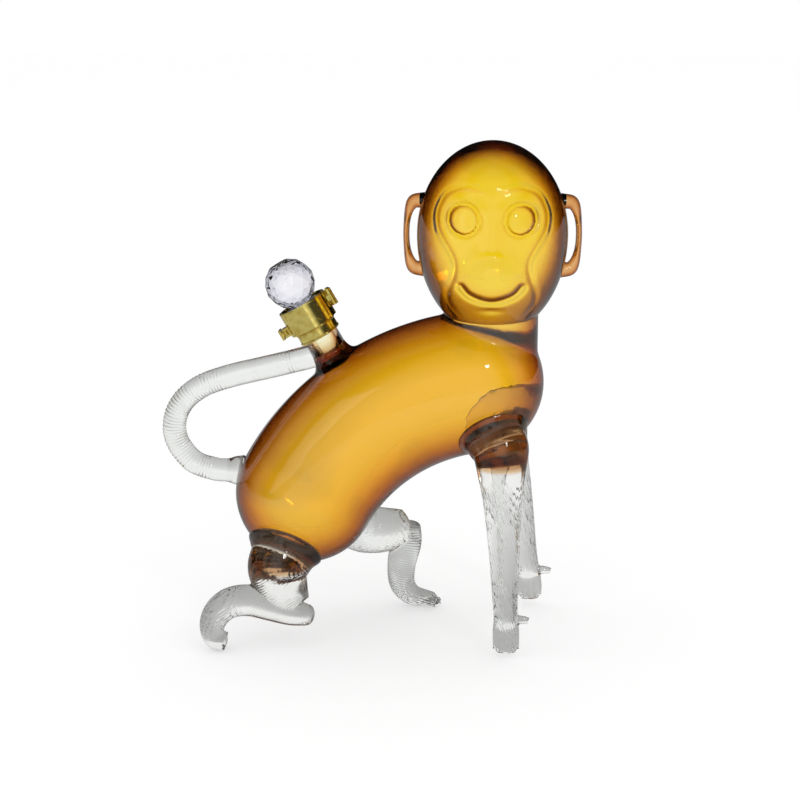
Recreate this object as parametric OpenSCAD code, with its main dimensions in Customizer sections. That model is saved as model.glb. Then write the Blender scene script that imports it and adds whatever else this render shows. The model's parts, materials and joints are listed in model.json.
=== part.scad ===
// Figural liquor decanter: a walking monkey of blown glass, filled with liquor,
// with a cut crystal stopper and a hinged brass collar on its back.
// X runs forwards, Z is up, and the four paws stand on Z = 0.

/* [Torso] */
// Outer radius of the blown tube of the torso
torso_r = 37; // [33:0.5:39]
// Radius of the bend along the torso's centreline
bend_r = 117; // [108:1:126]
// Polar angle of the chest's end of the bend
chest_at = 98; // [94:1:102]
// Polar angle of the rump's end of the bend
rump_at = 152; // [148:1:156]
// Height of the rump's centre over the table
rump_z = 74.5; // [72:0.5:78]
// Thickness of the blown glass
wall = 2.5; // [1.8:0.1:3.2]

/* [Head] */
// Height of the throat's seam over the torso's skin; it sets the height of the crown
throat_up = 8.4; // [6:0.2:11]
// Half the width of the head from side to side
head_side = 38.3; // [36:0.1:40]
// Half the depth of the head from face to nape, without the face's relief
head_deep = 40; // [38:0.5:42]
// Height of the head's upper half
head_up = 47.5; // [45:0.5:50]
// Half height of the fuller lower half, which the throat cuts off
head_down = 52; // [50:0.5:56]
// Offset of the head's centre in front of the chest's centre
head_ahead = 9.5; // [7:0.5:12]
// Standing height of the muzzle in front of the head
muzzle_out = 7; // [4:0.5:8]
// Radius of each eye
eye_r = 7; // [5:0.5:8]
// Distance of each eye from the middle of the face
eye_side = 14; // [12:0.5:15]

/* [Ears] */
// Radius of the glass rod that each ear is bent from
ear_rod = 2.7; // [2.2:0.1:3.2]
// How far an ear stands out from the side of the head
ear_out = 7.5; // [6.5:0.5:9]
// Half the height of an ear
ear_half = 17.5; // [15:0.5:19]

/* [Tail] */
// Radius of the tail's rod
tail_r = 6.2; // [5:0.2:7]

/* [Spout] */
// Polar angle on the bend from which the spout rises
spout_at = 126; // [122:1:130]
// Lean of the spout behind the vertical
spout_lean = 30; // [26:1:34]
// Outer radius of the glass neck
neck_r = 9.2; // [8.6:0.1:9.8]
// Thickness of the neck's glass
neck_wall = 2.6; // [2.4:0.1:3]
// Radius of the flare where the spout meets the torso
flare_r = 17; // [14:0.5:19]

/* [Brass collar] */
// Room between the neck's bead and the collar
collar_room = 1.1; // [0.8:0.1:1.6]
// Wall of the hinged collar
collar_wall = 1.5; // [1.2:0.1:1.8]
// Height of the hinged collar
collar_h = 13.4; // [12.5:0.1:15]
// Thickness of the band under the collar
band_t = 1.55; // [1.3:0.05:1.8]
// Height of the band
band_h = 6.2; // [5:0.2:7]
// Radius of the hinge pin and of the latch pin
pin_r = 0.8; // [0.6:0.1:0.9]

/* [Stopper] */
// Radius of the cut crystal ball
ball_r = 13; // [12:0.5:14]
// Facets round the ball's girdle
ball_facets = 12; // [10:1:16]
// Length of the seal inside the bore
seal_l = 14; // [10:1:18]

/* [Hidden] */
$fn = 64;

// The figure's footprint is centred on the origin by this shift
figure_x = 16.02;
figure_y = 0.53;

// Gaps: glass to liquor, fused glass, a weld on a round body, turning brass, sliding seal
fill_gap = 0.4;
head_fill_gap = 0.9;
weld_gap = 0.05;
seat_gap = 0.38;
turn_gap = 0.2;
slide_gap = 0.06;
pin_gap = 0.06;

// Torso: centres of the rump, of the bend and of the chest, in the X-Z plane
rump_x = -49.6;
bend_c = [rump_x - bend_r * cos(rump_at), rump_z - bend_r * sin(rump_at)];
chest = [bend_c.x + bend_r * cos(chest_at), bend_c.y + bend_r * sin(chest_at)];
rump_c = [rump_x, 0, rump_z];
chest_c = [chest.x, 0, chest.y];
// The end balls are turned so that their poles stay clear of the other surfaces, and
// are smaller than the tube by a hair, so that no two surfaces only graze each other
ball_turn = [0, 13, 7];
ball_step = 0.04;

// The limbs follow the torso: its girth and the hip's height, in shares of the usual ones
girth = torso_r / 37;
rise = (rump_z - 32.5) / 42;

// Head: its centre, and the throat with the height of its seam. The throat stands well
// inside the torso's girth, also at the front, where the head overhangs the chest.
throat_r = torso_r - 13;
head_x = chest.x + head_ahead;
throat_drop = head_down * sqrt(1 - pow(throat_r / head_side, 2));
throat_z = chest.y + sqrt(pow(torso_r, 2) - pow(throat_r, 2)) + throat_up;
head_z = throat_z + throat_drop;
crown_z = head_z + head_up;

// Spout: heights along its own axis, counted from the bend's centreline
spout_foot = [bend_c.x + bend_r * cos(spout_at), 0, bend_c.y + bend_r * sin(spout_at)];
seam_h = torso_r + 9;
band_at = torso_r + 15;
collar_at = band_at + band_h + turn_gap;
bead_at = collar_at + 6.5;
bead_h = 3;
mouth_at = bead_at + bead_h;
flange_h = 1.5;
gasket_gap = 0.1;

// Radii round the spout's axis, from the bore out to the collar
bore_r = neck_r - neck_wall;
bead_r = neck_r + 1.2;
band_r = neck_r + weld_gap + band_t;
collar_r = bead_r + collar_room + collar_wall;

// Brass: hinge and latch, in the spout's frame
lug_gap = 0.15;
knuckle_r = 1.8;
hinge_x = collar_r + knuckle_r + turn_gap;
knuckle_h = 3;
hinge_at = collar_at + collar_h - 3 * knuckle_h - 0.5;
latch_x = -(collar_r + 1.9);
latch_y = -1.6;
latch_at = collar_at + 1;
latch_h = 5;
lug_out = 0.9;
rear_lug = 2.2;
front_lug = 2.8;
hub_r = 1.25;
hub_low = 1.5;
hub_h = latch_h - 2 * hub_low;
lever_reach = 1.7;
lever_t = 1.2;

glass = [0.86, 0.90, 0.88, 0.5];
amber = [0.85, 0.52, 0.05];
brass = [0.80, 0.64, 0.22];

// Smooth curve through stations, each of them a list of equal length
function knot(p, i) = p[max(0, min(len(p) - 1, i))];
function curve(a, b, c, d, t) =
    0.5 * (2 * b + (c - a) * t + (2 * a - 5 * b + 4 * c - d) * t * t
    + (3 * b - a - 3 * c + d) * t * t * t);
function smooth(p, steps) = [
    for (i = [0:len(p) - 2]) for (s = [0:steps - 1])
        curve(knot(p, i - 1), knot(p, i), knot(p, i + 1), knot(p, i + 2), s / steps),
    p[len(p) - 1]];
function unit(v) = v / norm(v);
function place(s) = [s.x, s.y, s.z];
function heading(p, i) = unit(place(knot(p, i + 1)) - place(knot(p, i - 1)));

// An oval ring about a station [x, y, z, half width, half thickness]
function oval(s, along, side, n) =
    let (w = unit(side - along * (side * along)), h = cross(along, w))
    [for (k = [0:n - 1])
        place(s) + w * s[3] * cos(k * 360 / n) + h * s[4] * sin(k * 360 / n)];
function ovals(p, side, n) = [for (i = [0:len(p) - 1]) oval(p[i], heading(p, i), side, n)];

// A closed skin over rings of equal count, with a point at each end
module skin(rings, first, last) {
    n = len(rings[0]);
    rows = len(rings);
    points = concat([for (r = rings) each r], [first, last]);
    sides = [for (i = [0:rows - 2]) for (k = [0:n - 1])
        let (a = i * n + k, b = i * n + (k + 1) % n) each [[a, a + n, b + n], [a, b + n, b]]];
    caps = [for (k = [0:n - 1]) let (m = (k + 1) % n, e = (rows - 1) * n)
        each [[rows * n, k, m], [rows * n + 1, e + m, e + k]]];
    polyhedron(points = points, faces = concat(sides, caps), convexity = 6);
}

// Distance of a point from the outside of the torso, and from the egg of the head
torso_gap = function (p)
    let (dx = p.x - bend_c.x, dz = p.z - bend_c.y, a = atan2(dz, dx))
    (a > chest_at && a < rump_at ? norm([norm([dx, dz]) - bend_r, p.y])
        : min(norm(p - rump_c), norm(p - chest_c))) - torso_r;

head_gap = function (p)
    let (q = p - [head_x, 0, head_z], up = q.z > 0 ? head_up : head_down,
        a = norm([q.x / head_side, q.y / head_deep, q.z / up]),
        b = norm([q.x / pow(head_side, 2), q.y / pow(head_deep, 2), q.z / pow(up, 2)]))
    a * (a - 1) / b;

// Moves a point along a direction until it lies on the body that the gap belongs to
function land(p, d, gap, n = 20) =
    n == 0 ? p : land(p + d * (gap(p) - seat_gap), d, gap, n - 1);

// The rings of a weld on a body: its seat, then a fillet that flows into the first ring
seat_shares = [0.34, 0.68];
fillet_shares = [0.4, 0.75];
function weld(ring, centre, d, gap, spread) =
    let (rim = [for (q = ring) land(centre + (q - centre) * spread, d, gap)],
        under = [for (q = ring) land(q, d, gap)])
    concat(
        [for (f = seat_shares)
            [for (q = ring) land(centre + (q - centre) * spread * f, d, gap)]],
        [rim],
        [for (t = fillet_shares) [for (k = [0:len(ring) - 1])
            rim[k] * pow(1 - t, 2) + under[k] * 2 * t * (1 - t) + ring[k] * t * t]]);

// A rounded end beyond the last station
function round_end(s, along, side, n, bulge) = [for (a = [30, 60])
    oval(concat(place(s) + along * bulge * sin(a), [s[3] * cos(a), s[4] * cos(a)]),
        along, side, n)];

// A limb of solid glass that is seated on the torso at its first station
module limb(stations, aim, side, n = 16, steps = 3, bulge = 3, spread = 1.2) {
    p = smooth(stations, steps);
    d = unit(aim - place(p[0]));
    // The first ring leans half way towards the body
    lean = unit(unit(place(p[1]) - place(p[0])) - d);
    rings = [for (i = [0:len(p) - 1]) oval(p[i], i == 0 ? lean : heading(p, i), side, n)];
    tip = p[len(p) - 1];
    t = heading(p, len(p) - 1);
    seat = weld(rings[0], place(p[0]), d, torso_gap, spread);
    skin(concat(seat, rings, round_end(tip, t, side, n, bulge)),
        land(place(p[0]), d, torso_gap), place(tip) + t * bulge);
}

// A rod of solid glass with two round ends
module rod(stations, side, n = 12, steps = 3, bulge = 1.5) {
    p = smooth(stations, steps);
    t0 = -heading(p, 0);
    t1 = heading(p, len(p) - 1);
    start = round_end(p[0], t0, side, n, bulge);
    flipped = [for (r = [start[1], start[0]]) [for (k = [0:n - 1]) r[(n - k) % n]]];
    skin(concat(flipped, ovals(p, side, n), round_end(p[len(p) - 1], t1, side, n, bulge)),
        place(p[0]) + t0 * bulge, place(p[len(p) - 1]) + t1 * bulge);
}

// The whole figure stands centred, with its soles cut flat on the table
module stand() {
    translate([figure_x, figure_y, 0]) children();
}
module on_table() {
    difference() {
        children();
        translate([-200, -200, -20]) cube([400, 400, 20]);
    }
}

// The spout's own frame: Z along its axis, X forwards, Y to the far side
module spout_frame() {
    stand() translate(spout_foot) rotate([0, -spout_lean, 0]) children();
}

// A bent tube with round ends, and the throat that rises from it
module bent_body(r, throat, top) {
    translate([bend_c.x, 0, bend_c.y]) rotate([90, 0, 0])
        rotate([0, 0, chest_at]) rotate_extrude(angle = rump_at - chest_at)
            translate([bend_r, 0]) circle(r);
    for (c = [rump_c, chest_c]) translate(c) rotate(ball_turn) sphere(r - ball_step);
    translate([head_x, 0, chest.y]) cylinder(r = throat, h = top - chest.y);
}

// The spout's foot: a concave flare that runs out into the neck
flare_steps = 6;
module flare(r, foot) {
    bend = foot - r;
    low = torso_r - 3;
    rotate_extrude() polygon(concat(
        [[0, low - 12], [foot, low - 12]],
        [for (i = [0:flare_steps]) let (a = 90 * i / flare_steps)
            [foot - bend * sin(a), low + (seam_h - low) * (1 - cos(a))]],
        [[0, seam_h]]));
}

module torso_shell() {
    color(glass) stand() difference() {
        union() {
            bent_body(torso_r, throat_r, throat_z);
            translate(spout_foot) rotate([0, -spout_lean, 0]) flare(neck_r, flare_r);
        }
        bent_body(torso_r - wall, throat_r - wall, throat_z + 1);
        translate(spout_foot) rotate([0, -spout_lean, 0]) {
            flare(bore_r, flare_r - wall);
            cylinder(r = bore_r, h = seam_h + 1);
        }
    }
}

// The face, as a height over the head's egg at a place across and up the face
function soft(x, z, x0, z0, wx, wz, h) =
    h * exp(-pow((x - x0) / wx, 2) - pow((z - z0) / wz, 2));
function dome(x, z, x0, z0, r, h) =
    h * pow(max(0, 1 - pow((x - x0) / r, 2) - pow((z - z0) / r, 2)), 0.9);
eye_up = 12.5;
brow_up = 26;
nose_down = 8.5;
muzzle_down = 20;
smile_down = 28;
smile_side = 15;
smile_rise = 7.5;
chin_down = 35;
function smile_z(s) = -smile_down + smile_rise * pow(s / smile_side, 2);
// The edge of the face's mask: a round lobe over each eye and a wide one over the muzzle
mask_step = 0.9;
function mask_edge(s, z) = min(norm([s - 0.85 * eye_side, z - eye_up]) - 2 * eye_r,
    19 * (norm([s / 21, (z + muzzle_down) / 18]) - 1));
function relief(x, z) = let (s = abs(x))
    mask_step / (1 + exp(mask_edge(s, z) / 0.7))
    + soft(s, z, eye_side, eye_up, eye_r * 1.7, eye_r * 1.7, -3.2)
    + dome(s, z, eye_side, eye_up, eye_r * 1.1, 3.8)
    + soft(s, z, 0.65 * eye_side, brow_up, 12, 4.5, 1.2)
    + soft(s, z, 0, 3, 4, 12, 1.4)
    + soft(s, z, 0, -muzzle_down, 18, 13, muzzle_out - mask_step)
    + soft(s, z, 0, -nose_down, 5.5, 4, 2.2)
    - 1.9 * exp(-pow((z - smile_z(s)) / 2.4, 2) - pow(s / smile_side, 8))
    + soft(s, z, 0, -chin_down, 5, 2.5, -1)
    + soft(s, z, 25, -10, 4.5, 12, -1.4);

// A point of the head's skin: turn is 0 at the middle of the face, which looks along -Y
function egg(z) = sqrt(max(0, 1 - pow(z / (z > 0 ? head_up : head_down), 2)));
function head_point(turn, z) =
    let (e = egg(z), x = head_side * e * sin(turn), y = head_deep * e * cos(turn),
        near = max(0, cos(turn)), out = relief(x, z) * min(1, 2 * near * near))
    [head_x + x, -y - out * max(0.2, e), head_z + z];

// Columns stand closer together on the face than on the nape
head_columns = 56;
function column(k) = let (t = k * 360 / head_columns) t - 28 * sin(t);
// Rows are even up the face, and follow the egg's curve over the crown
face_top = 22;
face_rows = 30;
crown_rows = 10;
crown_from = asin(face_top / head_up);
function face_z(i) = i <= face_rows ? -throat_drop + (face_top + throat_drop) * i / face_rows
    : head_up * sin(crown_from + (90 - crown_from) * (i - face_rows) / crown_rows);

// The cavity is a plain egg, and the liquor in it follows the same rows
cavity_rows = 9;
cavity_top = head_up - wall - 0.6;
cavity_side = head_side - wall - 0.6;
cavity_down = 1.02 * head_down;
function cavity_z(i) = -throat_drop + (cavity_top + throat_drop) * sin(90 * i / cavity_rows);
function cavity_r(z) = cavity_side * sqrt(1 - pow(z / (z > 0 ? cavity_top : cavity_down), 2));

module head_shell() {
    cavity = [for (i = [cavity_rows - 1:-1:1]) let (z = cavity_z(i))
        [for (k = [0:head_columns - 1])
            [head_x + cavity_r(z) * sin(column(k)), -cavity_r(z) * cos(column(k)), head_z + z]]];
    rim = [for (r = [throat_r - wall, throat_r]) [for (k = [0:head_columns - 1])
        [head_x + r * sin(column(k)), -r * cos(column(k)), throat_z]]];
    face = [for (i = [1:face_rows + crown_rows - 1]) let (z = face_z(i))
        [for (k = [0:head_columns - 1]) head_point(column(k), z)]];
    color(glass) stand()
        skin(concat(cavity, rim, face), [head_x, 0, head_z + cavity_top], [head_x, 0, crown_z]);
}

// An ear is a loop of glass rod, both of whose ends land on the side of the head
ear_back = 4;
ear_wide = 1.7;
ear_flare = 1.15;
module ear(side) {
    root = head_side * egg(ear_half) + 1.5;
    reach = head_side + ear_out - ear_rod;
    p = [for (a = [-90:15:90])
        [head_x + side * (root + (reach - root) * pow(cos(a), 0.6)), ear_back + 3 * cos(a),
            head_z - 1 + ear_half * sin(a), ear_rod * ear_wide, ear_rod]];
    rings = ovals(p, [0, 1, 0], 12);
    last = len(p) - 1;
    d = [-side, 0, 0];
    low = weld(rings[0], place(p[0]), d, head_gap, ear_flare);
    high = weld(rings[last], place(p[last]), d, head_gap, ear_flare);
    back = [for (i = [len(high) - 1:-1:0]) high[i]];
    color(glass) stand() skin(concat(low, rings, back),
        land(place(p[0]), d, head_gap), land(place(p[last]), d, head_gap));
}
function mixed(a, b, t) = a + (b - a) * t;
module ear_right() ear(-1);
module ear_left() ear(1);

// The tail leaves the rump, swings up and lands at the spout's foot, as a handle
function behind(x, z) = [rump_x - torso_r + x, 0, rump_z + z, tail_r, tail_r];
function by_spout(x, h) = let (up = torso_r + h)
    [spout_foot.x + x * cos(spout_lean) - up * sin(spout_lean), 0,
        spout_foot.z + x * sin(spout_lean) + up * cos(spout_lean), tail_r, tail_r];
module tail_handle() {
    color(glass) stand() difference() {
        limb([behind(-3.9, 11.3), behind(-11.4, 11.9), behind(-22.4, 16), behind(-30.4, 26.5),
            behind(-31.7, 37.5), behind(-26.9, 48.5), by_spout(-67.5, 21.9),
            by_spout(-51.8, 19.2), by_spout(-33.9, 14.1), by_spout(-22, 10.7),
            by_spout(-7.9, 7.1)],
            rump_c, [0, 1, 0], n = 16, steps = 3, bulge = 1);
        translate(spout_foot) rotate([0, -spout_lean, 0]) flare_room();
    }
}
module flare_room() {
    translate([0, 0, weld_gap]) flare(neck_r + weld_gap, flare_r + weld_gap);
    translate([0, 0, 10]) cylinder(r = neck_r + weld_gap, h = 60);
}

// Fore legs: straight arms that end in flat hands with spread fingers, the thumb forwards.
// side is -1 for the right leg, ahead is how far the hand stands in front of the shoulder.
shoulder_z = chest.y - 28.4 * girth;
shoulder_side = 32 * girth;
finger_r = 2.3;
finger_step = 3.5;
module foreleg(side, ahead, apart) {
    x = chest.x + 15.1 * girth;
    function at(f, out, z, wide, thick) = [x + f * ahead * girth,
        side * (shoulder_side + (out + f * apart) * girth), z, wide * girth, thick * girth];
    hand = at(1, 3, 12, 7.4, 4.2);
    color(glass) stand() on_table() {
        limb([at(0, 0, shoulder_z, 14.5, 13), at(0.16, 1.4, shoulder_z - 12, 12, 10.5),
            at(0.33, 1.6, shoulder_z - 25, 10, 9), at(0.6, 2.2, 0.54 * shoulder_z, 8, 7.6),
            at(0.82, 2.6, 0.3 * shoulder_z, 6.6, 6.4), at(0.93, 2.8, 21, 6.2, 5.4), hand,
            at(1.03, 4.2, 8, 6.6, 3.6)],
            chest_c, [1, 0, 0], bulge = 3);
        for (i = [-1.5:1.5]) finger(hand + [0.9 * i * finger_step, side * 0.6, -0.5, 0, 0],
            [hand.x + i * finger_step, hand.y + side * 3.2, 0.4 * abs(i)]);
        finger(at(1, 1, 18, 0, 0) + [3, 0, 0, 0, 0], [hand.x + 13, hand.y - side, 19.5]);
    }
}
module finger(from, to) {
    rod([concat(place(from), [finger_r, finger_r]),
        concat(mixed(place(from), to, 0.5), [finger_r, finger_r]),
        concat(to, [0.8 * finger_r, 0.7 * finger_r])], [1, 0, 0], n = 8, steps = 1, bulge = 1.4);
}
module foreleg_right() foreleg(-1, 4, 5.6);
module foreleg_left() foreleg(1, 17, 4.6);

// Hind legs: the right one kneels with the foot behind, the left one steps forwards.
// The upper stations follow the hip, the lower ones keep their share of its height.
function hind(x, y, z, wide, thick) =
    [rump_x + x * girth, y * girth, z * rise, wide * girth, thick * girth];
module hindleg_right() {
    color(glass) stand() on_table() {
        limb([hind(-12.4, -29, 42, 15, 15.5), hind(-10.9, -30.5, 35, 12.8, 14.2),
            hind(-8, -32, 28, 10, 12.8), hind(-3.6, -32.6, 20.5, 6.6, 9.6)],
            rump_c, [0, 1, 0], steps = 4, bulge = 5);
        rod([hind(3.4, -32.5, 17.8, 6.2, 5.8), hind(-5.4, -32.7, 19.5, 8.2, 7.2),
            hind(-15.4, -33.5, 23, 8.6, 8), hind(-26.4, -34.6, 26, 8.4, 8.2),
            hind(-36.4, -36, 25, 8, 8), hind(-43.4, -37, 19.5, 7.4, 7.4),
            hind(-46, -38, 12.5, 7, 6.5), hind(-44, -38, 5.4, 7, 5.2),
            hind(-37.4, -38, 3.4, 7, 4.2)],
            [0, 1, 0], n = 16, bulge = 4.6);
    }
}
module hindleg_left() {
    color(glass) stand() on_table() {
        limb([hind(28.6, 27, 45.5, 13, 13), hind(37.6, 29, 44.5, 12.5, 12.5),
            hind(45.6, 30.5, 45, 11, 11), hind(51.6, 31.5, 45.6, 9, 9.2)],
            rump_c + girth * [4.6, 10, -8.5], [0, 1, 0], steps = 4, bulge = 6);
        rod([hind(52.6, 31.5, 47, 7.6, 7.4), hind(51.6, 32, 37, 8.2, 8.4),
            hind(48.8, 32, 24, 7.8, 7.8), hind(49, 32, 13, 7.2, 7.2),
            hind(54.1, 32, 5.6, 7, 6.2), hind(62.1, 32, 4.2, 7, 4.4),
            hind(67.1, 32, 4, 6.2, 3.4)],
            [0, 1, 0], n = 16, bulge = 2);
        for (i = [-1.5:1.5]) finger(hind(64.1, 32 + 3 * i, 3.8, 0, 0),
            place(hind(71.1 - 0.6 * i * i, 32 + 3.2 * i, finger_r - 0.4, 0, 0)));
    }
}

// The neck's tube, fused on the flare, with a bead round its mouth
module bottle_neck() {
    color(glass) spout_frame() rotate_extrude() union() {
        translate([bore_r, seam_h]) square([neck_r - bore_r, mouth_at - seam_h]);
        translate([bore_r, bead_at]) square([bead_r - bore_r - bead_h / 2, bead_h]);
        translate([bead_r - bead_h / 2, bead_at + bead_h / 2]) circle(bead_h / 2);
    }
}

// The liquor fills the torso, the throat, the head and the spout's foot
fill_drop = 4;
module liquor_fill() {
    fill_r = torso_r - wall - fill_gap;
    throat_fill = throat_r - wall - fill_gap;
    color(amber) stand() union() {
        bent_body(fill_r, throat_fill, throat_z + 1);
        translate(spout_foot) rotate([0, -spout_lean, 0]) intersection() {
            flare(bore_r - fill_gap, flare_r - wall - fill_gap);
            cylinder(r = flare_r, h = seam_h - fill_drop);
        }
        translate([head_x, 0, head_z]) rotate_extrude() polygon(concat(
            [[0, -throat_drop], [throat_fill - head_fill_gap, -throat_drop]],
            [for (i = [1:cavity_rows - 1]) [cavity_r(cavity_z(i)) - head_fill_gap, cavity_z(i)]],
            [[0, cavity_top - head_fill_gap]]));
    }
}

// A soft ring under the bead, which the collar's lip presses up
module neck_gasket() {
    low = collar_at + flange_h + gasket_gap;
    color("whitesmoke") spout_frame() translate([0, 0, low]) difference() {
        cylinder(r = bead_r, h = bead_at - low - gasket_gap);
        translate([0, 0, -1]) cylinder(r = neck_r + weld_gap, h = 10);
    }
}

module neck_band() {
    color(brass) spout_frame() translate([0, 0, band_at]) rotate_extrude() difference() {
        union() {
            translate([neck_r + weld_gap, 0]) square([band_r - neck_r - weld_gap, band_h]);
            for (z = [0.7, band_h - 0.7]) translate([band_r - 0.1, z]) circle(0.5);
        }
        translate([0, -5]) square([neck_r + weld_gap, 20]);
    }
}

// Half of the collar's turned section: a lip below, a plain wall and a rolled rim
module collar_section() {
    inner = collar_r - collar_wall;
    translate([neck_r + 0.3, 0]) square([inner - neck_r, flange_h]);
    translate([inner, 0]) square([collar_wall, collar_h]);
    translate([collar_r - 0.5, collar_h - 0.6]) circle(0.6);
}
module half_collar(from, low) {
    half = asin(lug_gap / collar_r);
    translate([0, 0, collar_at]) rotate([0, 0, from + half])
        rotate_extrude(angle = 180 - 2 * half) union() {
            collar_section();
            translate([neck_r + 0.3, -low]) square([band_r - neck_r - 0.3, low + 0.1]);
        }
}
// A knuckle on the hinge's axis, with the leaf that joins it to its half
module knuckle(level, way) {
    translate([0, 0, hinge_at + level * knuckle_h + 0.1]) difference() {
        union() {
            translate([hinge_x, 0, 0]) cylinder(r = knuckle_r, h = knuckle_h - 0.2);
            translate([collar_r - 0.8, way > 0 ? lug_gap : -knuckle_r, 0])
                cube([hinge_x - collar_r + 0.8, knuckle_r - lug_gap, knuckle_h - 0.2]);
        }
        translate([hinge_x, 0, -1]) cylinder(r = pin_r + pin_gap, h = 10);
    }
}
module latch_lug(way, length) {
    root = collar_r - collar_wall / 2;
    translate([latch_x - lug_out, way > 0 ? lug_gap : -length, latch_at])
        cube([lug_out - latch_x - root, length - lug_gap, latch_h]);
}

module collar_rear() {
    color(brass) spout_frame() union() {
        half_collar(0, turn_gap);
        for (level = [0, 2]) knuckle(level, 1);
        latch_lug(1, rear_lug);
    }
}
module collar_front() {
    color(brass) spout_frame() difference() {
        union() {
            half_collar(180, 0);
            knuckle(1, -1);
            latch_lug(-1, front_lug);
        }
        translate([latch_x - hub_r - turn_gap, -front_lug - 1, latch_at + hub_low - turn_gap])
            cube([2 * (hub_r + turn_gap), front_lug + 2, hub_h + 2 * turn_gap]);
        translate([latch_x, latch_y, latch_at - 1]) cylinder(r = pin_r, h = latch_h + 2);
    }
}
module hinge_pin() {
    color(brass) spout_frame() translate([hinge_x, 0, hinge_at]) union() {
        cylinder(r = pin_r, h = 3 * knuckle_h);
        translate([0, 0, 3 * knuckle_h + 0.05]) cylinder(r1 = 1.5, r2 = 1, h = 0.7);
        translate([0, 0, 3 * knuckle_h - 0.2]) cylinder(r = pin_r, h = 0.5);
    }
}
module latch_lever() {
    color(brass) spout_frame() translate([latch_x, latch_y, latch_at]) difference() {
        union() {
            translate([-lever_reach - lever_t, -1.8, -0.3]) cube([lever_t, 6, latch_h + 0.6]);
            translate([-lever_reach - lever_t / 2, -0.7, hub_low])
                cube([lever_reach, 1.4, hub_h]);
            translate([0, 0, hub_low]) cylinder(r = hub_r, h = hub_h);
        }
        cylinder(r = pin_r + pin_gap, h = latch_h);
    }
}
module latch_pin() {
    color(brass) spout_frame() translate([latch_x, latch_y, latch_at])
        cylinder(r = pin_r, h = latch_h);
}

// The soft sleeve in the bore, with ribs and a lip that rests on the mouth
module stopper_seal() {
    seal_r = bore_r - slide_gap;
    color("white") spout_frame() translate([0, 0, mouth_at]) rotate_extrude() difference() {
        union() {
            translate([0, slide_gap]) square([bead_r - 1.6, 1]);
            translate([0, -seal_l]) square([seal_r - 0.5, seal_l + 0.5]);
            for (i = [0:3]) translate([seal_r - 0.7, -seal_l + 1.5 + i * seal_l / 4])
                circle(0.7);
        }
        translate([-20, -seal_l - 1]) square([20 + seal_r - 1.6, seal_l + 5]);
    }
}
seal_top = mouth_at + slide_gap + 1;
foot_h = 2;
module stopper_shank() {
    color(glass) spout_frame() union() {
        translate([0, 0, mouth_at - seal_l]) cylinder(r = bore_r - 1.6 - 2 * slide_gap, h = seal_l + 2);
        translate([0, 0, seal_top + slide_gap]) rotate_extrude() union() {
            square([bead_r - 2, foot_h]);
            translate([bead_r - 2, foot_h / 2]) circle(foot_h / 2);
        }
    }
}

// The ball: rings of points turned by half a facet each, so every facet is a triangle
ball_rows = 7;
ball_seat = 66;
ball_at = seal_top + slide_gap + foot_h + ball_r * sin(ball_seat);
module stopper_ball() {
    n = ball_facets;
    rings = [for (i = [0:ball_rows - 1]) let (up = -ball_seat + 2 * ball_seat * i / (ball_rows - 1))
        [for (k = [0:n - 1]) let (a = (k - i / 2) * 360 / n)
            ball_r * [cos(up) * cos(a), cos(up) * sin(a), sin(up)]]];
    table = ball_r * sin(ball_seat);
    color(glass) spout_frame() translate([0, 0, ball_at])
        skin(rings, [0, 0, -table], [0, 0, table]);
}

torso_shell();
head_shell();
ear_right();
ear_left();
tail_handle();
foreleg_right();
foreleg_left();
hindleg_right();
hindleg_left();
bottle_neck();
liquor_fill();
neck_gasket();
neck_band();
collar_rear();
collar_front();
hinge_pin();
latch_lever();
latch_pin();
stopper_seal();
stopper_shank();
stopper_ball();
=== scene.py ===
"""A figural liquor decanter: a walking monkey of blown glass, filled with amber liquor.

Metres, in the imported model's frame: X runs ahead along the body, the face looks along -Y,
and the paws stand on Z = 0.
"""

import json
import math

import bpy
from mathutils import Matrix, Vector

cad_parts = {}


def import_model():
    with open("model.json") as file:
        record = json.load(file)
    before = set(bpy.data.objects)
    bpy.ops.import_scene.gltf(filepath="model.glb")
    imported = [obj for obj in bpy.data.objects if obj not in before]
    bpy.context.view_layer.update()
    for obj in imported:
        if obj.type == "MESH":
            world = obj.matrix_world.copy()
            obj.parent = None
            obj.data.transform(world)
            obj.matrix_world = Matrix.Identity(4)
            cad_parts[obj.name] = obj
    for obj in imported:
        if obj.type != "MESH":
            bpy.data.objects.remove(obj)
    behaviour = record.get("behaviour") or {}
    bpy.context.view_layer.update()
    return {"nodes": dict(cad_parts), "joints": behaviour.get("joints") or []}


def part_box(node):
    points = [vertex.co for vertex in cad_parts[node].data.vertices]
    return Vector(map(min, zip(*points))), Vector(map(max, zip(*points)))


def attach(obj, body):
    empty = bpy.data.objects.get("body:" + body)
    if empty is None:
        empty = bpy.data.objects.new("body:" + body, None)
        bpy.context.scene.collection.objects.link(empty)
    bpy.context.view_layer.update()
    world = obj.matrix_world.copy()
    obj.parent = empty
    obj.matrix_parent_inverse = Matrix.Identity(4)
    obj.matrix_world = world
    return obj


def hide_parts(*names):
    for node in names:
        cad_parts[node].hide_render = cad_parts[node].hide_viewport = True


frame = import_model()
MM = 0.001

# The figure's middle plane, and the torso's bend in it, as the model has them
FIGURE_Y = 0.53 * MM
TORSO_R = 37 * MM
BEND_R = 117 * MM
CHEST_AT = math.radians(98)
RUMP_AT = math.radians(152)
RUMP_X = -33.58 * MM
RUMP_UP = 74.5 * MM

# The glass wall, what is added behind the pressed face, and how far the liquor laps into it
WALL = 2.5 * MM
FACE_WALL = 1.5 * MM
FILL_LAP = 0.25 * MM

# The head's egg and the throat under it
HEAD_SIDE = 38.3 * MM
HEAD_DEEP = 40 * MM
HEAD_UP = 47.5 * MM
HEAD_DOWN = 52 * MM
HEAD_AHEAD = 9.5 * MM
THROAT_R = 24 * MM

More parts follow.
